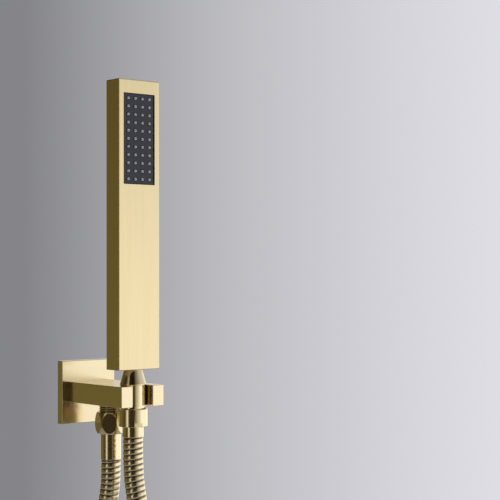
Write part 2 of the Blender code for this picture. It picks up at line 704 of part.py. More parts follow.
def flow_restrictor(plastic, parent):
    low = TAIL_BOTTOM + GAP
    outline = tube_outline(RESTRICTOR_HOLE_R, TAIL_BORE_R - GAP, low, low + RESTRICTOR_THICK)
    finish(turned_bmesh(outline, SMALL_SEGMENTS), "flow_restrictor", plastic, parent)


def tail_lock_nut(brass, parent):
    low = HANDSET_BOTTOM + HANDSET_WALL + GAP
    flats_to_walls = math.radians(30)
    bm = hexagon_bmesh(LOCK_NUT_ACROSS_FLATS, low, low + LOCK_NUT_HEIGHT, flats_to_walls)
    nut = finish(bm, "tail_lock_nut", brass, parent)
    cut(nut, cylinder_bmesh(TAIL_STEM_R + GAP / 2, -FAR, FAR, FINE_SEGMENTS), "lock_nut_bore")


def handset_shell(gold, parent):
    """The square-section body: a hollow bar with a window for the spray face and a hole for the tail."""
    half = Vector((HANDSET_WIDTH / 2, HANDSET_DEPTH / 2, 0))
    low = Vector((-half.x, -half.y, HANDSET_BOTTOM))
    high = Vector((half.x, half.y, HANDSET_TOP))
    bm = box_bmesh(low, high)
    bevel_edges(bm, HANDSET_TOP_ROUND, lambda edge: all(v.co.z > FACE_TOP for v in edge.verts), 4)
    bevel_edges(bm, HANDSET_BEVEL, lambda edge: all(v.co.z < FACE_TOP for v in edge.verts) or upright(edge))
    shell = finish(bm, "handset_shell", gold, parent)
    wall = Vector((HANDSET_WALL, HANDSET_WALL, HANDSET_WALL))
    cut(shell, box_bmesh(low + wall, high - wall), "shell_hollow")
    window = box_bmesh(
        (-FACE_WIDTH / 2 - GAP, -FAR, FACE_BOTTOM - GAP), (FACE_WIDTH / 2 + GAP, 0, FACE_TOP + GAP)
    )
    cut(shell, window, "shell_window")
    hole = cylinder_bmesh(TAIL_STEM_R + GAP, 0, HANDSET_BOTTOM + 2 * HANDSET_WALL)
    cut(shell, hole, "shell_tail_hole")


def upright(edge):
    a, b = (v.co for v in edge.verts)
    return abs(a.z - b.z) > HANDSET_HEIGHT / 2


def nozzle_places():
    for row in range(NOZZLE_ROWS):
        for column in range(NOZZLE_COLUMNS):
            x = (column - (NOZZLE_COLUMNS - 1) / 2) * NOZZLE_COLUMN_PITCH
            z = (FACE_TOP + FACE_BOTTOM) / 2 + (row - (NOZZLE_ROWS - 1) / 2) * NOZZLE_ROW_PITCH
            yield x, z


def loop_in_face(bm, points, y):
    """New vertices at the (x, z) points of a sheet at y, and the edges that close them into a loop."""
    verts = [bm.verts.new((x, y, z)) for x, z in points]
    return verts, [bm.edges.new((a, b)) for a, b in zip(verts, verts[1:] + verts[:1])]


def circle(x, z, radius):
    angles = [math.tau * (i + 0.5) / NOZZLE_SIDES for i in range(NOZZLE_SIDES)]
    return [(x + radius * math.cos(a), z + radius * math.sin(a)) for a in angles]


def wall_between(bm, first, second):
    """Joins two loops with the same number of vertices."""
    for i in range(len(first)):
        j = (i + 1) % len(first)
        bm.faces.new((first[i], first[j], second[j], second[i]))


FACE_FRONT = -HANDSET_DEPTH / 2 + FACE_RECESS
MAT_FRONT = FACE_FRONT + FACE_THICK + GAP
GASKET_FRONT = MAT_FRONT + MAT_THICK + GAP
TRAY_FRONT = GASKET_FRONT + GASKET_THICK + GAP


def rectangle(half_width, low, high):
    return [(-half_width, low), (half_width, low), (half_width, high), (-half_width, high)]


def spray_plate(plastic, parent):
    """The stiff face plate, with a hole for each nozzle."""
    bm = bmesh.new()
    outlines = [rectangle(FACE_WIDTH / 2, FACE_BOTTOM, FACE_TOP)]
    outlines += [circle(x, z, NOZZLE_BASE_R + GAP) for x, z in nozzle_places()]
    sheets = []
    for y in (FACE_FRONT, FACE_FRONT + FACE_THICK):
        loops = [loop_in_face(bm, outline, y) for outline in outlines]
        edges = [edge for _, loop_edges in loops for edge in loop_edges]
        bmesh.ops.triangle_fill(bm, edges=edges, use_beauty=True, normal=(0, -1, 0))
        sheets.append([verts for verts, _ in loops])
    for front_loop, back_loop in zip(*sheets):
        wall_between(bm, front_loop, back_loop)
    finish(bm, "spray_plate", plastic, parent)


def nozzle_mat(silicone, parent):
    """The flexible mat behind the plate, with a blunt cone through each of the plate's holes."""
    bm = bmesh.new()
    outline = rectangle(FACE_WIDTH / 2 - GAP, FACE_BOTTOM + GAP, FACE_TOP - GAP)
    front_rim, edges = loop_in_face(bm, outline, MAT_FRONT)
    back_rim, _ = loop_in_face(bm, outline, MAT_FRONT + MAT_THICK)
    for x, z in nozzle_places():
        foot, foot_edges = loop_in_face(bm, circle(x, z, NOZZLE_BASE_R), MAT_FRONT)
        tip, _ = loop_in_face(bm, circle(x, z, NOZZLE_TIP_R), -HANDSET_DEPTH / 2)
        wall_between(bm, foot, tip)
        bm.faces.new(tip)
        edges += foot_edges
    bmesh.ops.triangle_fill(bm, edges=edges, use_beauty=True, normal=(0, -1, 0))
    wall_between(bm, front_rim, back_rim)
    bm.faces.new(back_rim)
    finish(bm, "nozzle_mat", silicone, parent)


def tray_gasket(rubber, parent):
    half = FACE_WIDTH / 2 - GAP
    low = (-half, GASKET_FRONT, FACE_BOTTOM + GAP)
    high = (half, GASKET_FRONT + GASKET_THICK, FACE_TOP - GAP)
    frame = finish(box_bmesh(low, high), "tray_gasket", rubber, parent)
    inset = Vector((GASKET_WIDTH, -FAR, GASKET_WIDTH))
    cut(frame, box_bmesh(Vector(low) + inset, Vector(high) - inset), "gasket_hole")


def spray_tray(plastic, parent):
    """The water chamber behind the mat, with a spout for the tube at its lower end."""
    half = FACE_WIDTH / 2 - GAP
    low = Vector((-half, TRAY_FRONT, FACE_BOTTOM + GAP))
    high = Vector((half, TRAY_FRONT + TRAY_DEPTH, FACE_TOP - GAP))
    tray = finish(box_bmesh(low, high), "spray_tray", plastic, parent)
    wall = Vector((TRAY_WALL, TRAY_WALL, TRAY_WALL))
    inner_low = low + wall
    inner_low.y = -FAR
    spout = cylinder_bmesh(TAIL_SPOUT_R, low.z - SPOUT_LENGTH, low.z + TRAY_WALL / 2, SMALL_SEGMENTS)
    cut(tray, spout, "tray_spout", "UNION")
    cut(tray, box_bmesh((-FAR, -FAR, low.z - GAP), (FAR, TRAY_FRONT, high.z + GAP)), "tray_rim")
    cut(tray, box_bmesh(inner_low, high - wall), "tray_hollow")
    bore = cylinder_bmesh(TAIL_STEM_BORE_R, 0, low.z + 2 * TRAY_WALL, SMALL_SEGMENTS)
    cut(tray, bore, "tray_spout_bore")


def water_tube(plastic, parent, stem_top):
    """The straight tube that carries water from the tail's spout to the tray's."""
    outline = tube_outline(TUBE_INNER_R, TUBE_INNER_R + TUBE_WALL, stem_top + GAP, FACE_BOTTOM - GAP)
    finish(turned_bmesh(outline, SMALL_SEGMENTS), "water_tube", plastic, parent)


# ---- assembly ------------------------------------------------------------------------------------


def build():
    clear_scene()
    gold = material("satin_gold", (0.78, 0.63, 0.33), 0.28, 1.0)
    spiral = material("gold_hose", (0.78, 0.63, 0.33), 0.34, 1.0)
    brass = material("raw_brass", (0.72, 0.52, 0.24), 0.35, 1.0)
    steel = material("stainless_steel", (0.6, 0.6, 0.6), 0.3, 1.0)
    dark = material("charcoal_plastic", (0.05, 0.05, 0.06), 0.5)
    pale = material("white_plastic", (0.8, 0.8, 0.8), 0.4)
    silicone = material("grey_silicone", (0.35, 0.36, 0.38), 0.6)
    rubber = material("black_rubber", (0.03, 0.03, 0.03), 0.7)

    wall_flange(gold)
    wall_seal(rubber)
    inlet_nipple(brass)
    nipple_o_rings(rubber)
    arm_body(gold)
    arm_set_screw(steel)
    outlet_nipple(gold)
    check_valve_body(pale)
    check_valve_poppet(rubber)
    check_valve_spring(steel)

    washer("outlet_washer", OUTLET_WASHER_TOP, rubber, None, OUTLET_AXIS)
    hose_insert("outlet_insert", OUTLET_HEAD_TOP, SLEEVE_BOTTOM + GAP, brass, None, OUTLET_AXIS)
    sleeve_top = OUTLET_HEAD_TOP - INSERT_HEAD_THICK - GAP
    hose_sleeve("outlet_sleeve", SLEEVE_R, sleeve_top, SLEEVE_BOTTOM, gold, None, OUTLET_AXIS)
    hexagon_nut(gold, empty("outlet_nut_axis", OUTLET_AXIS))

    tube_object("hose_leg_outlet", smooth_route(OUTLET_LEG), HOSE_R, spiral)
    tube_object("hose_leg_handset", smooth_route(HANDSET_LEG), HOSE_R, spiral)
    hose_coil(spiral)
    hose_tie(rubber)

    hose_end = empty("hose_end_axis", HANDSET_AXIS)
    ferrule_top = TAIL_HEAD_TOP - INSERT_HEAD_THICK - GAP
    hose_insert("handset_insert", TAIL_HEAD_TOP, FERRULE_BOTTOM + GAP, brass, hose_end, (0, 0, 0))
    hose_sleeve("handset_ferrule", FERRULE_R, ferrule_top, FERRULE_BOTTOM, gold, hose_end, (0, 0, 0))

    handset = empty("handset_axis", (0, 0, 0), hose_end)
    washer("handset_washer", TAIL_WASHER_TOP, rubber, handset, (0, 0, 0))
    stem_top = tail_spigot(gold, handset)
    tail_o_ring(rubber, handset)
    flow_restrictor(pale, handset)
    tail_lock_nut(brass, handset)
    handset_shell(gold, handset)
    water_tube(pale, handset, stem_top)
    spray_tray(pale, handset)
    tray_gasket(rubber, handset)
    nozzle_mat(silicone, handset)
    spray_plate(dark, handset)
    round_nut(gold, empty("handset_nut_axis", (0, 0, 0), handset))


build()
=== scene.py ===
"""Look of the bar hand shower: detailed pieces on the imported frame, materials, light and camera.

The wall is the plane y = 0, the shower faces -Y and +Z is up. Metres throughout.
"""

import math

import bmesh
import bpy
import numpy as np
from mathutils import Matrix, Vector


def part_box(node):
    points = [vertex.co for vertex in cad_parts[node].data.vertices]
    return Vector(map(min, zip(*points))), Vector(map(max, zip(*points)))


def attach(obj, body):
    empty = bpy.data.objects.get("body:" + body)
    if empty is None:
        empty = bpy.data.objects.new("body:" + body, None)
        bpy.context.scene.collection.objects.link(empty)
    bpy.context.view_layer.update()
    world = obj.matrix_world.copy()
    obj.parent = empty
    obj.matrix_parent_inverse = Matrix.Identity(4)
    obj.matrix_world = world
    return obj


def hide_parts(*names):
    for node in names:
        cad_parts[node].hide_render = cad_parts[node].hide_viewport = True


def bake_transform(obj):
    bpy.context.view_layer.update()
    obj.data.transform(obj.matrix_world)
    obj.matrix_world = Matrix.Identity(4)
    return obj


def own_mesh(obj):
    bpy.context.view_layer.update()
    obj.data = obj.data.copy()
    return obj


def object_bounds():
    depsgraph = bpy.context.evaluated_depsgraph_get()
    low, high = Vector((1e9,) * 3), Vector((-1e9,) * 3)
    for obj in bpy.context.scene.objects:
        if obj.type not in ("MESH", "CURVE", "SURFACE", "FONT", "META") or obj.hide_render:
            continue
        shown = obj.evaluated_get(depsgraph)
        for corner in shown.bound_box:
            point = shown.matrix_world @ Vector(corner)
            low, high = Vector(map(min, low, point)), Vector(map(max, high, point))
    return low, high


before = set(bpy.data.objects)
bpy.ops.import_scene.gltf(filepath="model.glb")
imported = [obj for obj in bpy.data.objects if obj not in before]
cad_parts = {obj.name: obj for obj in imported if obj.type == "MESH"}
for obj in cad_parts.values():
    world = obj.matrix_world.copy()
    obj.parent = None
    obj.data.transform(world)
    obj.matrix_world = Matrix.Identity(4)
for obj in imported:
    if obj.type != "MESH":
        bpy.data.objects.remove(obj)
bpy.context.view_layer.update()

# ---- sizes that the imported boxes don't hold --------------------------------------------------------

GAP = 0.0003  # clearance between neighbours

# Flange and arm
FLANGE_EDGE = 0.0006
FLANGE_HOLE_R = 0.0065
FLANGE_BORE_R = 0.0108
FLANGE_BORE_DEPTH = 0.0035
SEAL_GROOVE_WIDTH = 0.0046
SLOT_HALF_WIDTH = 0.01065
SLOT_STEPS = 32  # sides of the slot's half round end
SLOT_EDGE = 0.00015
ARM_EDGE = 0.0004

# Outlet thread and check valve
THREAD_R = 0.01048
THREAD_DEPTH = 0.00116
THREAD_PITCH = 0.001814
THROAT_R = 0.0048
SPRING_WIRE_R = 0.0003
SPRING_TURNS = 5
SPRING_STEPS = 24  # points in one turn

# Nuts and sleeves at the hose's ends
NUT_BORE_R = THREAD_R + GAP
INSERT_HEAD = 0.0018
HEX_FLATS = 0.0243
HEX_TURN = math.radians(50)
HEX_RIM_INSET = 0.0002
HEX_CORNER_CUT = 0.00043
ROUND_NUT_EDGE = 0.0004
FLAT_TURN = math.radians(-102)
FLAT_DEPTH = 0.0005
FLAT_HEIGHT = 0.0034
SLEEVE_WALL = 0.0022
# A sleeve's rounded lower rim, as (in from its radius, up from its end)
SLEEVE_RIM = [(0.0010, 0), (0.00045, 0.00012), (0.00012, 0.00045), (0, 0.0010)]

# Cone, neck and stem of the handset's tail
NECK_R = 0.01035
TAIL_BORE_R = 0.0050
TAIL_TAPER = 0.0050
TAIL_THROAT_R = 0.0028
CONE_FOOT = 0.0012
CONE_FOOT_EASE = (0.00015, 0.0003)  # in and up
CONE_EDGE = 0.0002
CONE_TOP_R = 0.0077
CONE_NECKING = 0.0006
STEM_R = 0.0065
STEM_HEIGHT = 0.0075
STEM_END_R = 0.0042

# Handset
SHELL_WALL = 0.0015
SHELL_TOP_EDGE = 0.0013
SHELL_EDGE = 0.0006
WINDOW_CORNER = 0.0006
WINDOW_EASE = 0.00025
WINDOW_EASE_CORNER = 0.0008
TAIL_HOLE_R = 0.0068
TAIL_HOLE_DEPTH = 0.003
FACE_CORNER = 0.0005
FACE_EASE = 0.0003
NOZZLE_COLUMNS = 4
NOZZLE_ROWS = 11
NOZZLE_COLUMN_PITCH = 0.0072
NOZZLE_ROW_PITCH = 0.0068
NOZZLE_BASE_R = 0.0014
NOZZLE_TIP_R = 0.0010
NOZZLE_HOLE_R = 0.0004
# A nozzle from its foot over its tip and into its hole, as (radius, distance back from the tip)
NOZZLE_PROFILE = [
    (NOZZLE_BASE_R, 0.0009),
    (NOZZLE_TIP_R + 0.00016, 0.00022),
    (NOZZLE_TIP_R, 0.00005),
    (NOZZLE_TIP_R - 0.00018, 0),
    (NOZZLE_HOLE_R + 0.00006, 0),
    (NOZZLE_HOLE_R, 0.00008),
    (NOZZLE_HOLE_R, 0.0008),
]

# Strap round the coil
STRAP_THICK = 0.0012
STRAP_EDGE = 0.0003
STRAP_RIB_HEIGHT = 0.0003
STRAP_RIB_DEPTH = 0.0006
STRAP_RIB_HALF_WIDTH = 0.0006
STRAP_RIB_PLACES = (-0.0036, 0.0, 0.0036)

# Hose
HOSE_R = 0.0085
HOSE_PITCH = 0.0046
HOSE_GROOVE = 0.0005
ROUTE_STEP = 0.002
COIL_R = 0.102
COIL_CENTRE_Z = -0.260
COIL_PLANES = (-0.0495, -0.0665)
COIL_SWEEP = range(190, 711, 13)  # degrees round the coil, from +X towards +Z
OUTLET_LEG = [
    (0.0000, -0.0414, -0.0571),
    (0.0000, -0.0411, -0.0700),
    (0.0000, -0.0402, -0.0800),
    (-0.0015, -0.0375, -0.0974),
    (-0.0060, -0.0344, -0.1142),
    (-0.0134, -0.0323, -0.1300),
    (-0.0234, -0.0319, -0.1443),
    (-0.0357, -0.0319, -0.1566),
    (-0.0506, -0.0319, -0.1691),
    (-0.0656, -0.0319, -0.1819),
    (-0.0804, -0.0319, -0.1972),
    (-0.0917, -0.0319, -0.2153),
    (-0.0990, -0.0319, -0.2353),
    (-0.1019, -0.0319, -0.2564),
]
HANDSET_LEG = [
    (0.0000, -0.0745, -0.0350),
    (0.0000, -0.0746, -0.0500),
    (0.0000, -0.0755, -0.0650),
    (0.0001, -0.0761, -0.0710),
    (0.0018, -0.0789, -0.0918),
    (0.0072, -0.0818, -0.1120),
    (0.0161, -0.0838, -0.1310),
    (0.0281, -0.0841, -0.1481),
    (0.0429, -0.0841, -0.1629),
    (0.0542, -0.0841, -0.1724),
    (0.0656, -0.0841, -0.1819),
    (0.0804, -0.0841, -0.1972),
    (0.0917, -0.0841, -0.2153),
    (0.0990, -0.0841, -0.2353),
    (0.1019, -0.0841, -0.2564),
]
# Where the hose changes plane as it winds, in degrees round the coil, and the planes in turn
PLANE_CHANGES = [(180, 245), (395, 505), (655, 720)]
PLANE_DEPTHS = (OUTLET_LEG[-1][1], *COIL_PLANES, HANDSET_LEG[-1][1])

# ---- materials ---------------------------------------------------------------------------------------

GOLD = (0.89, 0.755, 0.49)
HANDSET_GOLD = (0.87, 0.725, 0.43)
BRASS = (0.72, 0.50, 0.22)
METAL_RELIEF = 0.25
# The colour sockets of a Mix node
MIX_A, MIX_B, MIX_RESULT = 6, 7, 2


def node(tree, kind, settings=None, **inputs):
    """A shader node; an input takes a value or another node's socket, and its name has _ for a space."""
    made = tree.nodes.new("ShaderNode" + kind)
    for key, value in (settings or {}).items():
        setattr(made, key, value)
    for key, value in inputs.items():
        socket = made.inputs[key.replace("_", " ")]
        if isinstance(value, bpy.types.NodeSocket):
            tree.links.new(value, socket)
        else:
            socket.default_value = value
    return made


def new_material(name):
    made = bpy.data.materials.new(name)
    made.use_nodes = True
    tree = made.node_tree
    return made, tree, tree.nodes["Principled BSDF"]


def grain(tree, scale, detail=3.0):
    """Noise whose features are 1/scale metres long on each axis, about 0.5 on average."""
    place = node(tree, "TexCoord").outputs["Object"]
    stretched = node(tree, "Mapping", Vector=place, Scale=scale).outputs[0]
    return node(tree, "TexNoise", Vector=stretched, Scale=1.0, Detail=detail, Roughness=0.6).outputs[0]


def mapped(tree, value, start, end, low, high):
    """The value with start to end mapped to low to high, and held there outside."""
    ends = {"From_Min": start, "From_Max": end, "To_Min": low, "To_Max": high}
    return node(tree, "MapRange", {"clamp": True}, Value=value, **ends).outputs[0]


def spread(tree, noise, low, high):
    """The noise between 0.25 and 0.75 mapped to low and high."""
    return mapped(tree, noise, 0.25, 0.75, low, high)


def multiplied(tree, colour, shade):
    """The colour, a value or a socket, times the shade."""
    mixed = node(tree, "Mix", {"data_type": "RGBA", "blend_type": "MULTIPLY"}, Factor=1.0)
    if isinstance(colour, bpy.types.NodeSocket):
        tree.links.new(colour, mixed.inputs[MIX_A])
    else:
        mixed.inputs[MIX_A].default_value = (*colour, 1)
    tree.links.new(shade, mixed.inputs[MIX_B])
    return mixed.outputs[MIX_RESULT]


def tinted(tree, colour, *shades):
    """The colour multiplied by each of the shades."""
    for shade in shades:
        colour = multiplied(tree, colour, shade)
    return colour


def metal(name, colour, roughness, fine, soft, streak, band, groove=None):
    """Worked metal: fine lines and broad soft bands along the way it was brushed or turned.

    groove is the share of the colour that is left at the bottom of a helical groove, as painted shade in
    the groove.
    """
    made, tree, surface = new_material(name)
    lines = grain(tree, fine)
    bands = grain(tree, soft, 2.0)
    shades = [spread(tree, lines, 1 - streak, 1 + streak), spread(tree, bands, 1 - band, 1 + band)]
    if groove is not None:
        # Painted shade: the colour darkens towards the bottom of the helical groove
        depth = node(tree, "Attribute", {"attribute_name": "groove"}).outputs["Fac"]
        shades.append(mapped(tree, depth, 0.25, 1.0, 1.0, groove))
    tree.links.new(tinted(tree, colour, *shades), surface.inputs["Base Color"])
    tree.links.new(spread(tree, lines, roughness - 0.03, roughness + 0.04), surface.inputs["Roughness"])
    surface.inputs["Metallic"].default_value = 1.0
    bump = node(tree, "Bump", Strength=METAL_RELIEF, Distance=0.00004, Height=lines)
    tree.links.new(bump.outputs[0], surface.inputs["Normal"])
    return made


def moulded(name, colour, roughness, texture, contrast, relief, sheen=0.0):
    """Plastic, rubber or silicone with a fine moulded texture."""
    made, tree, surface = new_material(name)
    speckle = grain(tree, (texture,) * 3, 4.0)
    cloud = grain(tree, (60.0,) * 3, 2.0)
    shades = [spread(tree, speckle, 1 - contrast, 1 + contrast), spread(tree, cloud, 0.95, 1.05)]
    tree.links.new(tinted(tree, colour, *shades), surface.inputs["Base Color"])
    tree.links.new(spread(tree, speckle, roughness - 0.05, roughness + 0.05), surface.inputs["Roughness"])
    surface.inputs["Sheen Weight"].default_value = sheen
    bump = node(tree, "Bump", Strength=relief, Distance=0.00005, Height=speckle)
    tree.links.new(bump.outputs[0], surface.inputs["Normal"])
    return made


BRUSHED_UP = metal("gold_brushed_upright", HANDSET_GOLD, 0.24, (1900, 1900, 26), (240, 240, 7), 0.035, 0.03)
BRUSHED_ACROSS = metal("gold_brushed_across", GOLD, 0.20, (30, 1900, 1900), (12, 150, 150), 0.02, 0.02)
TURNED = metal("gold_turned", GOLD, 0.17, (25, 25, 3000), (10, 10, 300), 0.03, 0.02)
# Painted shade: the hose's colour falls to 0.12 of itself at the bottom of its groove
SPIRAL_SHADED_GROOVE = metal("gold_hose_spiral_groove_shade", GOLD, 0.22, (900, 900, 900), (90, 90, 90), 0.04, 0.04, groove=0.12)
# Painted shade: the thread's colour falls to 0.30 of itself in its roots
THREADED_SHADED_ROOTS = metal("gold_thread_root_shade", GOLD, 0.22, (900, 900, 900), (90, 90, 90), 0.04, 0.04, groove=0.30)
RAW_BRASS = metal("raw_brass_turned", BRASS, 0.30, (25, 25, 2600), (60, 60, 60), 0.06, 0.08)
STEEL = metal("steel_plain", (0.58, 0.58, 0.60), 0.28, (500, 500, 500), (80, 80, 80), 0.05, 0.04)
CHARCOAL = moulded("charcoal_plastic_face", (0.029, 0.031, 0.048), 0.42, 2600, 0.10, 0.25)
SILICONE = moulded("grey_silicone_nozzle", (0.56, 0.58, 0.64), 0.38, 1800, 0.05, 0.12)
WHITE = moulded("white_plastic_moulded", (0.72, 0.72, 0.70), 0.38, 1500, 0.03, 0.1)
RUBBER = moulded("black_rubber_strap", (0.022, 0.022, 0.024), 0.62, 1700, 0.15, 0.4, 0.1)

# ---- shapes ------------------------------------------------------------------------------------------

ROUND = 96  # sides of a turned piece
BARREL_STEPS = 32
FAR = 0.2  # how far a cutter runs past what it cuts
INTO_WALL = Matrix.Rotation(-math.pi / 2, 4, "X")  # turns +Z to +Y


def mesh_object(name, bm, material, smooth_below=32):
    """An object of the shape, with its faces outwards and edges sharper than smooth_below degrees kept."""
    bmesh.ops.recalc_face_normals(bm, faces=bm.faces)
    if bm.calc_volume(signed=True) < 0:
        bmesh.ops.reverse_faces(bm, faces=bm.faces)
    mesh = bpy.data.meshes.new(name)
    bm.to_mesh(mesh)
    bm.free()
    mesh.shade_smooth()
    mesh.set_sharp_from_angle(angle=math.radians(smooth_below))
    mesh.materials.append(material)
    made = bpy.data.objects.new(name, mesh)
    bpy.context.scene.collection.objects.link(made)
    return made


def piece(name, shape, material, body, replaced, smooth_below=32):
    """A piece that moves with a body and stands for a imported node."""
    made = mesh_object(name, shape, material, smooth_below)
    keep_flats = made.modifiers.new("flat_faces_stay_flat", "WEIGHTED_NORMAL")
    keep_flats.keep_sharp = True
    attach(made, body)
    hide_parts(replaced)
    return made


def turned(outline, sides=ROUND):
    """A closed outline of (radius, z) points, turned about the Z axis."""
    bm = bmesh.new()
    points = [bm.verts.new((radius, 0, z)) for radius, z in outline]
    edges = [bm.edges.new((a, b)) for a, b in zip(points, points[1:] + points[:1])]
    bmesh.ops.spin(bm, geom=points + edges, axis=(0, 0, 1), cent=(0, 0, 0), angle=math.tau, steps=sides)
    bmesh.ops.remove_doubles(bm, verts=bm.verts, dist=1e-6)
    bmesh.ops.dissolve_degenerate(bm, edges=bm.edges, dist=1e-7)
    return bm


def moved(bm, matrix):
    bmesh.ops.transform(bm, matrix=matrix, verts=bm.verts)
    return bm


def box(low, high):
    bm = bmesh.new()
    bmesh.ops.create_cube(bm, size=1)
    return moved(bm, Matrix.LocRotScale((Vector(low) + Vector(high)) / 2, None, Vector(high) - Vector(low)))


def prism(outline, low, high):
    """A closed outline of (x, y) points, extruded from z = low to z = high."""
    bm = bmesh.new()
    face = bm.faces.new([bm.verts.new((x, y, low)) for x, y in outline])
    grown = bmesh.ops.extrude_face_region(bm, geom=[face])["geom"]
    top = [element for element in grown if isinstance(element, bmesh.types.BMVert)]
    bmesh.ops.translate(bm, vec=(0, 0, high - low), verts=top)
    return bm


def rounded(bm, width, wanted, segments=4):
    """Rounds the edges that wanted picks."""
    bmesh.ops.recalc_face_normals(bm, faces=bm.faces)
    edges = [edge for edge in bm.edges if wanted(edge)]
    bmesh.ops.bevel(bm, geom=edges, offset=width, segments=segments, profile=0.5, affect="EDGES")
    return bm


def corner(edge, least=25):
    return len(edge.link_faces) == 2 and edge.calc_face_angle() > math.radians(least)


def combined(bm, *steps):
    """The shape after each (operation, tool) in turn."""
    target = mesh_object("combining", bm, None)
    tools = []
    for operation, tool in steps:
        other = mesh_object("tool", tool, None)
        modifier = target.modifiers.new("combine", "BOOLEAN")
        modifier.operation = operation
        modifier.object = other
        tools.append(other)
    graph = bpy.context.evaluated_depsgraph_get()
    result = bmesh.new()
    result.from_mesh(target.evaluated_get(graph).to_mesh())
    for obj in (target, *tools):
        bpy.data.objects.remove(obj)
    return result


def eased(outline, ease):
    """A closed outline with each corner cut back by ease, for a small chamfer."""
    points = [Vector(p) for p in outline]
    result = []
    for before, here, after in zip([points[-1], *points], points, [*points[1:], points[0]]):
        for other in (before, after):
            way = other - here
            result.append(here + way * min(0.35, ease / way.length))
    return [tuple(p) for p in result]


def catmull(route, step):
    """Points about step apart on one smooth curve through the route's own points."""
    line = [Vector(p) for p in route]
    ends = [2 * line[0] - line[1], *line, 2 * line[-1] - line[-2]]
    points = []
    for a, b, c, d in zip(ends, ends[1:], ends[2:], ends[3:]):
        steps = max(1, round((c - b).length / step))
        for i in range(steps):
            t = i / steps
            bend = (2 * a - 5 * b + 4 * c - d) * t * t + (3 * b - a - 3 * c + d) * t**3
            points.append(b + ((c - a) * t + bend) / 2)
    return np.array([*points, line[-1]])


def carried_frames(line):
    """The distance along a line at each point, and two directions across it that never twist."""
    step = np.linalg.norm(np.diff(line, axis=0), axis=1)
    along = np.concatenate([[0], np.cumsum(step)])
    ahead = np.gradient(line, along, axis=0)
    ahead /= np.linalg.norm(ahead, axis=1, keepdims=True)
    side = np.cross(ahead[0], (0, 1, 0) if abs(ahead[0][1]) < 0.9 else (1, 0, 0))
    sides = []
    for direction in ahead:
        side = side - direction * side.dot(direction)
        side = side / np.linalg.norm(side)
        sides.append(side)
    sides = np.array(sides)
    return along, sides, np.cross(ahead, sides)


def helical_tube(line, radius, depth, pitch, sharpness, sides, steps):
    """A closed tube round a line, with a helical groove that is also kept as an attribute.

    A sharper groove is narrower. There are steps rows of points in each turn of it.
    """
    along, across, over = carried_frames(line)
    length = along[-1]
    rows = int(length / pitch * steps) + 2 * steps + 1
    row, column = np.meshgrid(np.arange(rows) - steps, np.arange(sides), indexing="ij")
    place = (row + steps * column / sides) * pitch / steps
    groove = np.abs(np.cos(np.pi * (row % steps) / steps)) ** sharpness
    before, after = place <= 0, place >= length
    groove[before | after] = 1.0
    reach = radius - depth * groove
    angle = math.tau * column / sides
    place = np.clip(place, 0, length)
    centre, sideways, upways = (
        np.stack([np.interp(place, along, values[:, i]) for i in range(3)], axis=-1)
        for values in (line, across, over)
    )
    outward = np.cos(angle)[..., None] * sideways + np.sin(angle)[..., None] * upways
    points = centre + reach[..., None] * outward
    index = np.arange(rows * sides).reshape(rows, sides)
    first_row = np.arange(sides)
    index = np.where(before, first_row[None, :], index)
    last_row = (rows - 1) * sides + first_row
    index = np.where(after, last_row[None, :], index)
    flat = points.reshape(-1, 3)
    wrapped = np.concatenate([index[:-steps], index[steps:, :1]], axis=1)
    faces = []
    for low, high in zip(wrapped, wrapped[1:]):
        for j in range(sides):
            ring = [low[j], low[j + 1], high[j + 1], high[j]]
            ring = [v for n, v in enumerate(ring) if v != ring[n - 1]]
            if len(set(ring)) >= 3:
                faces.append(ring)
    used = sorted({v for face in faces for v in face})
    renumber = {v: n for n, v in enumerate(used)}
    bm = bmesh.new()
    layer = bm.verts.layers.float.new("groove")
    for v in used:
        vert = bm.verts.new(flat[v])
        vert[layer] = groove.reshape(-1)[v]
    bm.verts.ensure_lookup_table()
    for face in faces:
        bm.faces.new([bm.verts[renumber[v]] for v in face])
    bmesh.ops.holes_fill(bm, edges=[edge for edge in bm.edges if edge.is_boundary], sides=0)
    return bm


# ---- bracket -----------------------------------------------------------------------------------------


def ring_cutter(inner, outer, start, sides):
    return turned([(inner, start), (outer, start), (outer, FAR), (inner, FAR)], sides)


def wall_flange():
    low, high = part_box("wall_flange")
    bm = rounded(box(low, high), FLANGE_EDGE, lambda edge: any(v.co.y < low.y / 2 for v in edge.verts))
    nipple_low, nipple_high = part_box("inlet_nipple")
    rise = Matrix.Translation((0, 0, (nipple_low.z + nipple_high.z) / 2))
    hole = moved(ring_cutter(0, FLANGE_HOLE_R, -FAR, 48), rise @ INTO_WALL)
    bore = moved(ring_cutter(0, FLANGE_BORE_R, -FLANGE_BORE_DEPTH, 48), rise @ INTO_WALL)
    seal_low, seal_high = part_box("wall_seal")
    outer = seal_high.x + GAP
    groove = moved(ring_cutter(outer - SEAL_GROOVE_WIDTH, outer, seal_low.y - GAP, 64), INTO_WALL)
    steps = [("DIFFERENCE", tool) for tool in (hole, bore, groove)]
    piece("flange_plate", combined(bm, *steps), BRUSHED_ACROSS, "bracket", "wall_flange")


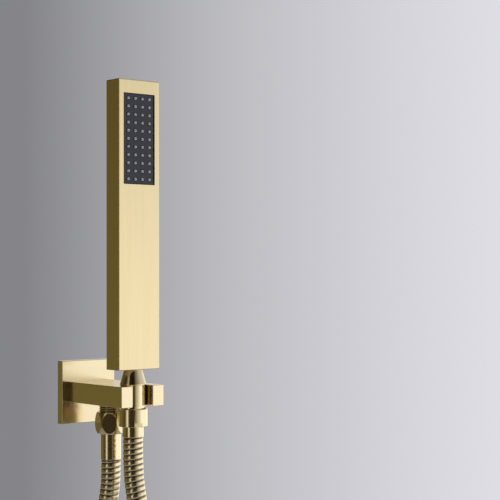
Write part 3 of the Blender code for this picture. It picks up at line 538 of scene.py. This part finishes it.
def fork_arm():
    low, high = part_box("arm_body")
    neck = (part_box("tail_spigot")[0].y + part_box("tail_spigot")[1].y) / 2
    outline = [(low.x, high.y), (low.x, low.y), (-SLOT_HALF_WIDTH, low.y)]
    for i in range(SLOT_STEPS + 1):
        angle = math.pi - math.pi * i / SLOT_STEPS
        outline.append((SLOT_HALF_WIDTH * math.cos(angle), neck + SLOT_HALF_WIDTH * math.sin(angle)))
    outline += [(SLOT_HALF_WIDTH, low.y), (high.x, low.y), (high.x, high.y)]
    bm = prism(outline, low.z, high.z)

    def in_slot(edge):
        return all(abs(v.co.x) < SLOT_HALF_WIDTH + GAP for v in edge.verts)

    def outer(edge):
        against_flange = all(v.co.y > high.y - ARM_EDGE for v in edge.verts)
        return corner(edge, 20) and not in_slot(edge) and not against_flange

    rounded(bm, ARM_EDGE, outer, 3)
    rounded(bm, SLOT_EDGE, lambda edge: corner(edge, 60) and in_slot(edge), 2)
    screw_low, screw_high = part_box("arm_set_screw")
    reach = (screw_low.y + screw_high.y) / 2
    radius = (screw_high.x - screw_low.x) / 2 + GAP
    top = screw_high.z + GAP
    hole = turned([(0, -FAR), (radius, -FAR), (radius, top), (0, top)], 32)
    bm = combined(bm, ("DIFFERENCE", moved(hole, Matrix.Translation((0, reach, 0)))))
    piece("fork_arm", bm, BRUSHED_ACROSS, "bracket", "arm_body")


def outlet_thread():
    low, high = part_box("outlet_nipple")
    axis = (low + high) / 2
    arm_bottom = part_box("arm_body")[0].z
    line = np.linspace((axis.x, axis.y, low.z), (axis.x, axis.y, arm_bottom - GAP), 25)
    bm = helical_tube(line, THREAD_R, THREAD_DEPTH, THREAD_PITCH, sharpness=1.2, sides=64, steps=8)
    valve_low, valve_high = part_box("check_valve_body")
    valve_r = (valve_high.x - valve_low.x) / 2 + GAP
    top = valve_high.z + GAP
    bore = [(0, -FAR), (valve_r, -FAR), (valve_r, top), (THROAT_R, top), (THROAT_R, FAR), (0, FAR)]
    hole = moved(turned(bore, 48), Matrix.Translation((axis.x, axis.y, 0)))
    bm = combined(bm, ("DIFFERENCE", hole))
    piece("outlet_thread", bm, THREADED_SHADED_ROOTS, "bracket", "outlet_nipple", smooth_below=50)


def closing_spring():
    """The check valve's spring, wound between the ends of its imported box."""
    low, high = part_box("check_valve_spring")
    axis = (low + high) / 2
    turn_r = (high.x - low.x) / 2 - SPRING_WIRE_R
    rise = high.z - low.z - 2 * SPRING_WIRE_R
    line = []
    for i in range(SPRING_TURNS * SPRING_STEPS + 1):
        angle = math.tau * i / SPRING_STEPS
        height = low.z + SPRING_WIRE_R + rise * i / (SPRING_TURNS * SPRING_STEPS)
        line.append((axis.x + turn_r * math.cos(angle), axis.y + turn_r * math.sin(angle), height))
    bm = helical_tube(np.array(line), SPRING_WIRE_R, depth=0, pitch=0.001, sharpness=1, sides=8, steps=2)
    made = piece("closing_spring", bm, STEEL, "bracket", "check_valve_spring", 60)
    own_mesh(made)


def hexagon_nut():
    """Hexagon nut turned to a barrel, which leaves each flat with an oval outline."""
    low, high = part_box("outlet_nut")
    axis = (low + high) / 2
    corner_r = HEX_FLATS / math.sqrt(3)
    angles = [HEX_TURN + math.radians(30 + 60 * i) for i in range(6)]
    hexagon = [(corner_r * math.cos(angle), corner_r * math.sin(angle)) for angle in angles]
    bm = prism(hexagon, low.z - GAP, high.z + GAP)
    rim = HEX_FLATS / 2 - HEX_RIM_INSET
    flat_half_width = math.sqrt((corner_r - HEX_CORNER_CUT) ** 2 - rim**2)
    barrel = [(0, low.z)]
    for i in range(BARREL_STEPS + 1):
        angle = math.pi * i / BARREL_STEPS
        height = axis.z - (high.z - low.z) / 2 * math.cos(angle)
        barrel.append((math.hypot(rim, flat_half_width * math.sin(angle)), height))
    barrel.append((0, high.z))
    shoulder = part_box("outlet_insert")[1].z - INSERT_HEAD - GAP
    sleeve_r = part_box("outlet_sleeve")[1].x + GAP
    bore = [
        (0, -FAR),
        (sleeve_r, -FAR),
        (sleeve_r, shoulder),
        (NUT_BORE_R, shoulder),
        (NUT_BORE_R, FAR),
        (0, FAR),
    ]
    bm = combined(bm, ("INTERSECT", turned(barrel)), ("DIFFERENCE", turned(bore, 64)))
    bm = moved(bm, Matrix.Translation((axis.x, axis.y, 0)))
    piece("hexagon_nut", bm, TURNED, "outlet_nut", "outlet_nut", smooth_below=18)


def sleeve(name, node_name, body):
    low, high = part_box(node_name)
    axis = (low + high) / 2
    radius = (high.x - low.x) / 2
    inner = radius - SLEEVE_WALL
    rim = [(radius - inset, low.z + rise) for inset, rise in SLEEVE_RIM]
    outline = [(inner, low.z), *rim, (radius, high.z), (inner, high.z)]
    bm = moved(turned(outline), Matrix.Translation((axis.x, axis.y, 0)))
    piece(name, bm, TURNED, body, node_name)


def round_nut():
    low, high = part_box("handset_nut")
    axis = (low + high) / 2
    radius = (high.x - low.x) / 2
    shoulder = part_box("handset_insert")[1].z - INSERT_HEAD - GAP
    ferrule_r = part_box("handset_ferrule")[1].x + GAP
    outline = [
        (ferrule_r, low.z),
        (radius, low.z),
        (radius, high.z),
        (NUT_BORE_R, high.z),
        (NUT_BORE_R, shoulder),
        (ferrule_r, shoulder),
    ]
    steps = []
    for side in (0, math.pi):
        block = box((radius - FLAT_DEPTH, -FAR, -FAR), (FAR, FAR, low.z + FLAT_HEIGHT))
        steps.append(("DIFFERENCE", moved(block, Matrix.Rotation(FLAT_TURN + side, 4, "Z"))))
    bm = combined(turned(eased(outline, ROUND_NUT_EDGE)), *steps)
    bm = moved(bm, Matrix.Translation((axis.x, axis.y, 0)))
    piece("round_nut", bm, TURNED, "handset_nut", "handset_nut")


# ---- hose --------------------------------------------------------------------------------------------


def smoothstep(value):
    t = min(max(value, 0.0), 1.0)
    return t * t * (3 - 2 * t)


def hose_route():
    """From the outlet, round the coil and up to the handset."""
    turns = []
    for degrees in COIL_SWEEP:
        angle = math.radians(degrees)
        y = PLANE_DEPTHS[0]
        for (start, end), before, after in zip(PLANE_CHANGES, PLANE_DEPTHS, PLANE_DEPTHS[1:]):
            y += (after - before) * smoothstep((degrees - start) / (end - start))
        turns.append((COIL_R * math.cos(angle), y, COIL_CENTRE_Z + COIL_R * math.sin(angle)))
    return OUTLET_LEG + turns + HANDSET_LEG[::-1]


def stadium(straight, radius, steps):
    """A closed outline of (x, y) points: two half circles whose centres are straight apart along y."""
    points = []
    for centre, start in ((straight / 2, 0.0), (-straight / 2, math.pi)):
        for i in range(steps + 1):
            angle = start + math.pi * i / steps
            points.append((radius * math.cos(angle), centre + radius * math.sin(angle)))
    return points


def coil_tie():
    """A rubber strap round the turns, with raised ribs along it."""
    low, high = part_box("hose_tie")
    middle = (low + high) / 2
    straight = abs(COIL_PLANES[0] - COIL_PLANES[1])
    radius = (high.z - low.z) / 2
    half = (high.x - low.x) / 2
    outer = radius - STRAP_RIB_HEIGHT

    def hoop(outside, inside, low_z, high_z):
        bore = prism(stadium(straight, inside, 24), -FAR, FAR)
        return combined(prism(stadium(straight, outside, 24), low_z, high_z), ("DIFFERENCE", bore))

    bm = hoop(outer, outer - STRAP_THICK, -half, half)
    rounded(bm, STRAP_EDGE, lambda edge: corner(edge, 40), 3)
    for place in STRAP_RIB_PLACES:
        ends = (place - STRAP_RIB_HALF_WIDTH, place + STRAP_RIB_HALF_WIDTH)
        bm = combined(bm, ("UNION", hoop(radius, radius - STRAP_RIB_DEPTH, *ends)))
    bm = moved(bm, Matrix.Translation(middle) @ Matrix.Rotation(math.pi / 2, 4, "Y"))
    return piece("coil_strap", bm, RUBBER, "bracket", "hose_tie")


def hose():
    """The spiral hose, one mesh between the outlet and the handset."""
    tie = coil_tie()
    line = catmull(hose_route(), ROUTE_STEP)
    bm = helical_tube(line, HOSE_R, HOSE_GROOVE, HOSE_PITCH, sharpness=9.0, sides=24, steps=12)
    made = mesh_object("spiral_hose", bm, SPIRAL_SHADED_GROOVE, 60)
    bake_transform(made)
    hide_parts("hose_leg_outlet", "hose_leg_handset", "hose_coil")


# ---- handset -----------------------------------------------------------------------------------------


def tail_cone():
    """Cone, neck and the turned shoulder between them."""
    low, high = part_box("tail_spigot")
    axis = (low + high) / 2
    arm_bottom, arm_top = (v.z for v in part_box("arm_body"))
    shell_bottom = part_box("handset_shell")[0].z
    cone_r = (high.x - low.x) / 2
    foot_top = arm_top + CONE_FOOT
    ease_in, ease_up = CONE_FOOT_EASE
    stem_top = shell_bottom + STEM_HEIGHT
    outline = [
        (TAIL_BORE_R, low.z),
        (NECK_R - THREAD_DEPTH, low.z),
        (NECK_R - THREAD_DEPTH, arm_bottom - GAP),
        (NECK_R, arm_bottom - GAP),
        (NECK_R, arm_top + GAP),
        (cone_r - CONE_EDGE, arm_top + GAP),
        (cone_r, arm_top + 2 * GAP),
        (cone_r, foot_top),
        (cone_r - ease_in, foot_top + ease_up),
        (CONE_TOP_R + CONE_EDGE, shell_bottom - GAP - CONE_NECKING),
        (CONE_TOP_R, shell_bottom - GAP),
        (STEM_R, shell_bottom - GAP),
        (STEM_R, stem_top),
        (STEM_END_R, stem_top),
        (STEM_END_R, high.z),
        (TAIL_THROAT_R, high.z),
        (TAIL_THROAT_R, arm_top),
        (TAIL_BORE_R, arm_top - TAIL_TAPER),
    ]
    bm = moved(turned(outline), Matrix.Translation((axis.x, axis.y, 0)))
    piece("tail_cone", bm, TURNED, "handset", "tail_spigot", smooth_below=24)


def rounded_rectangle(half_width, half_height, radius, steps=6):
    points = []
    for quarter, (sx, sz) in enumerate(((1, 1), (-1, 1), (-1, -1), (1, -1))):
        for i in range(steps + 1):
            angle = math.pi / 2 * (quarter + i / steps)
            x = sx * (half_width - radius) + radius * math.cos(angle)
            points.append((x, sz * (half_height - radius) + radius * math.sin(angle)))
    return points


def upright_prism(outline, middle_z, near, far):
    """An outline of (x, z) points about middle_z, extruded along Y from near to far."""
    bm = prism([(x, -z) for x, z in outline], near, far)
    return moved(bm, Matrix.Translation((0, 0, middle_z)) @ INTO_WALL)


def handset_body():
    low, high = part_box("handset_shell")
    face_low, face_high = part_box("spray_plate")
    middle_z = (face_low.z + face_high.z) / 2

    def top_edge(edge):
        return all(v.co.z > face_high.z for v in edge.verts)

    bm = box(low, high)
    rounded(bm, SHELL_TOP_EDGE, top_edge, 5)
    rounded(bm, SHELL_EDGE, lambda edge: corner(edge, 40) and not top_edge(edge), 4)
    wall = Vector((SHELL_WALL, SHELL_WALL, SHELL_WALL))
    half_width = (face_high.x - face_low.x) / 2 + GAP
    half_height = (face_high.z - face_low.z) / 2 + GAP
    middle_y = (low.y + high.y) / 2
    window = rounded_rectangle(half_width, half_height, WINDOW_CORNER)
    window = upright_prism(window, middle_z, low.y - FAR, middle_y)
    lip = rounded_rectangle(half_width + WINDOW_EASE, half_height + WINDOW_EASE, WINDOW_EASE_CORNER)
    lip = upright_prism(lip, middle_z, low.y - FAR, low.y + WINDOW_EASE)
    hole_top = low.z + TAIL_HOLE_DEPTH
    hole = turned([(0, 0), (TAIL_HOLE_R, 0), (TAIL_HOLE_R, hole_top), (0, hole_top)], 48)
    steps = [
        ("DIFFERENCE", box(low + wall, high - wall)),
        ("DIFFERENCE", window),
        ("DIFFERENCE", lip),
        ("DIFFERENCE", moved(hole, Matrix.Translation((0, middle_y, 0)))),
    ]
    piece("handset_body", combined(bm, *steps), BRUSHED_UP, "handset", "handset_shell")


def nozzle_places():
    low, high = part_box("spray_plate")
    for row in range(NOZZLE_ROWS):
        for column in range(NOZZLE_COLUMNS):
            x = (column - (NOZZLE_COLUMNS - 1) / 2) * NOZZLE_COLUMN_PITCH
            z = (low.z + high.z) / 2 + (row - (NOZZLE_ROWS - 1) / 2) * NOZZLE_ROW_PITCH
            yield x, z


def circle(x, z, radius, sides=20):
    angles = [math.tau * (i + 0.5) / sides for i in range(sides)]
    return [(x + radius * math.cos(a), z + radius * math.sin(a)) for a in angles]


def ring_of(bm, points, y):
    verts = [bm.verts.new((x, y, z)) for x, z in points]
    return verts, [bm.edges.new((a, b)) for a, b in zip(verts, verts[1:] + verts[:1])]


def strip(bm, first, second):
    for i in range(len(first)):
        j = (i + 1) % len(first)
        bm.faces.new((first[i], first[j], second[j], second[i]))


def fill_between(bm, edges):
    bmesh.ops.triangle_fill(bm, edges=edges, use_beauty=True, normal=(0, -1, 0))


def spray_face():
    """The charcoal face plate: rounded corners, an eased rim and a countersunk hole for each nozzle."""
    low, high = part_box("spray_plate")
    middle_z = (low.z + high.z) / 2
    half_width = (high.x - low.x) / 2
    half_height = (high.z - low.z) / 2
    hole_r = NOZZLE_BASE_R + GAP
    bm = bmesh.new()

    def rim(inset, y):
        points = rounded_rectangle(half_width - inset, half_height - inset, FACE_CORNER)
        return ring_of(bm, [(x, z + middle_z) for x, z in points], y)

    front, front_edges = rim(FACE_EASE, low.y)
    side, _ = rim(0, low.y + FACE_EASE)
    back, back_edges = rim(0, high.y)
    strip(bm, front, side)
    strip(bm, side, back)
    for x, z in nozzle_places():
        mouth, mouth_edges = ring_of(bm, circle(x, z, hole_r + FACE_EASE / 2), low.y)
        throat, _ = ring_of(bm, circle(x, z, hole_r), low.y + FACE_EASE)
        tail, tail_edges = ring_of(bm, circle(x, z, hole_r), high.y)
        strip(bm, mouth, throat)
        strip(bm, throat, tail)
        front_edges += mouth_edges
        back_edges += tail_edges
    fill_between(bm, front_edges)
    fill_between(bm, back_edges)
    piece("spray_face", bm, CHARCOAL, "handset", "spray_plate")


def nozzles():
    """The silicone mat, with a blunt nipple and a water hole at each place."""
    low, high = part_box("nozzle_mat")
    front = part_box("spray_plate")[1].y + GAP
    bm = bmesh.new()
    outline = [(low.x, low.z), (high.x, low.z), (high.x, high.z), (low.x, high.z)]
    rim, edges = ring_of(bm, outline, front)
    back, _ = ring_of(bm, outline, high.y)
    strip(bm, rim, back)
    bm.faces.new(back)
    for x, z in nozzle_places():
        ring, foot_edges = ring_of(bm, circle(x, z, NOZZLE_BASE_R), front)
        edges += foot_edges
        for radius, back_from_tip in NOZZLE_PROFILE:
            following, _ = ring_of(bm, circle(x, z, radius), low.y + back_from_tip)
            strip(bm, ring, following)
            ring = following
        bm.faces.new(ring)
    fill_between(bm, edges)
    piece("nozzle_field", bm, SILICONE, "handset", "nozzle_mat", smooth_below=50)


# ---- carried-over nodes ------------------------------------------------------------------------------

KEPT = {
    "wall_seal": RUBBER,
    "inlet_nipple": RAW_BRASS,
    "nipple_o_ring_rear": RUBBER,
    "nipple_o_ring_front": RUBBER,
    "arm_set_screw": STEEL,
    "check_valve_body": WHITE,
    "check_valve_poppet": RUBBER,
    "outlet_washer": RUBBER,
    "outlet_insert": RAW_BRASS,
    "handset_insert": RAW_BRASS,
    "handset_washer": RUBBER,
    "tail_o_ring": RUBBER,
    "flow_restrictor": WHITE,
    "tail_lock_nut": RAW_BRASS,
    "water_tube": WHITE,
    "spray_tray": WHITE,
    "tray_gasket": RUBBER,
}


def finish_kept_nodes():
    for name, material in KEPT.items():
        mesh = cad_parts[name].data
        mesh.materials.clear()
        mesh.materials.append(material)


# ---- studio ------------------------------------------------------------------------------------------

CAMERA_PLACE = Vector((-0.690, -1.0488, 0.1036))
CAMERA_YAW = math.radians(40.07)  # from +Y towards +X
CAMERA_PITCH = math.radians(0.95)
CAMERA_ROLL = math.radians(-0.11)
CAMERA_LENS = 101.15  # mm, on a sensor 36 mm wide


def camera():
    data = bpy.data.cameras.new("camera")
    data.lens = CAMERA_LENS
    data.sensor_width = 36.0
    data.clip_start = 0.01
    data.clip_end = 50.0
    made = bpy.data.objects.new("camera", data)
    bpy.context.scene.collection.objects.link(made)
    forward = Vector((math.sin(CAMERA_YAW), math.cos(CAMERA_YAW), 0))
    level = Vector((math.cos(CAMERA_YAW), -math.sin(CAMERA_YAW), 0))
    ahead = math.cos(CAMERA_PITCH) * forward + Vector((0, 0, math.sin(CAMERA_PITCH)))
    upright = level.cross(ahead)
    right = math.cos(CAMERA_ROLL) * level + math.sin(CAMERA_ROLL) * upright
    up = math.cos(CAMERA_ROLL) * upright - math.sin(CAMERA_ROLL) * level
    turn = Matrix((right, up, -ahead)).transposed()
    made.matrix_world = Matrix.Translation(CAMERA_PLACE) @ turn.to_4x4()
    bpy.context.scene.camera = made


KEY_PLACE = Vector((0.9, -1.3, 0.9))
KEY_TARGET = Vector((0, -0.05, 0.05))
KEY_SIZE = 0.9
KEY_POWER = 9.0
FLOOR_R = 1.5
FLOOR_DROP = 0.15  # how far the floor lies under the object
# Light that comes from all round, by direction in degrees from +X towards +Y
SURROUND = [
    (-180, (0.30, 0.28, 0.22)),
    (-175, (0.86, 0.84, 0.76)),
    (-167, (0.86, 0.84, 0.76)),
    (-161, (0.035, 0.026, 0.010)),
    (-112, (0.026, 0.019, 0.007)),
    (-92, (0.46, 0.44, 0.36)),
    (-72, (0.70, 0.69, 0.62)),
    (-54, (1.08, 1.09, 1.12)),
    (-10, (1.05, 1.05, 1.05)),
    (30, (1.15, 1.16, 1.20)),
    (62, (0.80, 0.79, 0.74)),
    (90, (0.12, 0.095, 0.045)),
    (130, (0.143, 0.123, 0.043)),
    (158, (0.072, 0.054, 0.018)),
    (172, (0.06, 0.045, 0.014)),
    (180, (0.30, 0.28, 0.22)),
]
# The share of it that is left by height: -180 is straight down, 0 level and 180 straight up, and
# between them the value goes with the sine of the angle above the floor, not with the angle
FALL_OFF = [
    (-180, (0.10, 0.10, 0.10)),
    (-72, (0.42, 0.42, 0.42)),
    (-32, (1.10, 1.10, 1.10)),
    (-8, (1.10, 1.10, 1.10)),
    (6, (0.99, 0.99, 0.99)),
    (22, (0.80, 0.80, 0.80)),
    (40, (0.74, 0.74, 0.74)),
    (60, (0.54, 0.54, 0.54)),
    (110, (0.36, 0.36, 0.36)),
    (180, (0.46, 0.46, 0.46)),
]
# What the camera sees behind the object: a backdrop with painted shade, falling from 0.76 at 38 degrees to
# about 0.22 from 59 to 90
BACKGROUND = [
    (-180, (0.50, 0.50, 0.53)),
    (-60, (0.76, 0.76, 0.80)),
    (38, (0.76, 0.76, 0.80)),
    (44, (0.66, 0.655, 0.70)),
    (51, (0.50, 0.50, 0.53)),
    (59, (0.235, 0.235, 0.25)),
    (90, (0.22, 0.22, 0.235)),
    (180, (0.50, 0.50, 0.53)),
]


def ramp(tree, factor, stops):
    made = node(tree, "ValToRGB", Fac=factor)
    elements = made.color_ramp.elements
    elements[0].position = 0.0
    elements[1].position = 1.0
    for degrees, colour in stops[1:-1]:
        elements.new((degrees + 180) / 360).color = (*colour, 1)
    elements[0].color = (*stops[0][1], 1)
    elements[len(elements) - 1].color = (*stops[-1][1], 1)
    return made.outputs[0]


def surroundings():
    world = bpy.data.worlds.new("studio")
    world.use_nodes = True
    tree = world.node_tree
    direction = node(tree, "SeparateXYZ", Vector=node(tree, "TexCoord").outputs["Generated"]).outputs
    turn = node(tree, "Math", {"operation": "ARCTAN2"})
    tree.links.new(direction["Y"], turn.inputs[0])
    tree.links.new(direction["X"], turn.inputs[1])
    share = node(tree, "MapRange", Value=turn.outputs[0], From_Min=-math.pi, From_Max=math.pi).outputs[0]
    height = node(tree, "MapRange", Value=direction["Z"], From_Min=-1.0, From_Max=1.0).outputs[0]
    seen = multiplied(tree, ramp(tree, share, SURROUND), ramp(tree, height, FALL_OFF))
    behind = ramp(tree, share, BACKGROUND)
    path = node(tree, "LightPath").outputs["Is Camera Ray"]
    both = node(tree, "Mix", {"data_type": "RGBA"}, Factor=path)
    tree.links.new(seen, both.inputs[MIX_A])
    tree.links.new(behind, both.inputs[MIX_B])
    tree.links.new(both.outputs[MIX_RESULT], tree.nodes["Background"].inputs["Color"])
    bpy.context.scene.world = world


def key_light():
    data = bpy.data.lights.new("key", "AREA")
    data.shape = "SQUARE"
    data.size = KEY_SIZE
    data.energy = KEY_POWER
    made = bpy.data.objects.new("key", data)
    bpy.context.scene.collection.objects.link(made)
    made.location = KEY_PLACE
    made.rotation_mode = "QUATERNION"
    made.rotation_quaternion = (KEY_TARGET - KEY_PLACE).to_track_quat("-Z", "Y")
    made.visible_camera = False
    made.visible_glossy = False


def floor():
    low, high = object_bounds()
    middle = (low + high) / 2
    bm = bmesh.new()
    bmesh.ops.create_circle(bm, cap_ends=True, segments=96, radius=FLOOR_R)
    moved(bm, Matrix.Translation((middle.x, middle.y, low.z - FLOOR_DROP)))
    pale = moulded("floor_pale", (0.86, 0.86, 0.87), 0.6, 300, 0.02, 0.05)
    made = mesh_object("studio_floor", bm, pale)


def build():
    camera()
    hose()
    wall_flange()
    fork_arm()
    outlet_thread()
    closing_spring()
    hexagon_nut()
    sleeve("outlet_hose_sleeve", "outlet_sleeve", "bracket")
    sleeve("handset_hose_ferrule", "handset_ferrule", "hose_end")
    round_nut()
    tail_cone()
    handset_body()
    spray_face()
    nozzles()
    finish_kept_nodes()
    floor()
    surroundings()
    key_light()
    bpy.context.scene.view_settings.view_transform = "Standard"


build()
